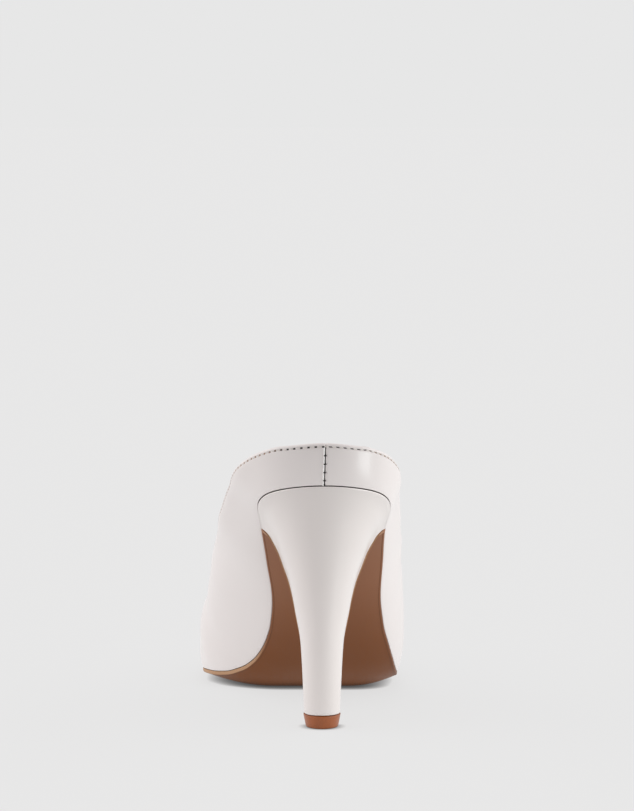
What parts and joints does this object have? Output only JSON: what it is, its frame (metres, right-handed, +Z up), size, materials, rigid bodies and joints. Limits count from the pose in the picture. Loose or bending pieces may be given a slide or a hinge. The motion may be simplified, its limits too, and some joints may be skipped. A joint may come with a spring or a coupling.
{
  "type": "mule shoe",
  "caption": "Closed-toe mule on a high covered heel, with a low rim round the heel seat, a leather upper, a turned-down outsole and a hard tip under the heel.",
  "frame": {"origin": "middle of the heel tip's ground face, on the floor", "axes": "+Y along the shoe from heel to toe, +Z up, +X to the outer side of this right shoe"},
  "size_m": [0.0839, 0.2333, 0.1115],
  "materials": {
    "upper_leather": "smooth, semi-gloss off-white",
    "lining_leather": "smooth, matt pale beige",
    "sole_leather": "satin tan brown",
    "heel_leather": "smooth, semi-gloss off-white",
    "tip_plastic": "satin tan brown"
  },
  "bodies": {
    "root": {"upper": "upper_leather", "insole": "lining_leather", "outsole": "sole_leather", "heel": "heel_leather", "top_piece": "tip_plastic"}
  },
  "joints": []
}
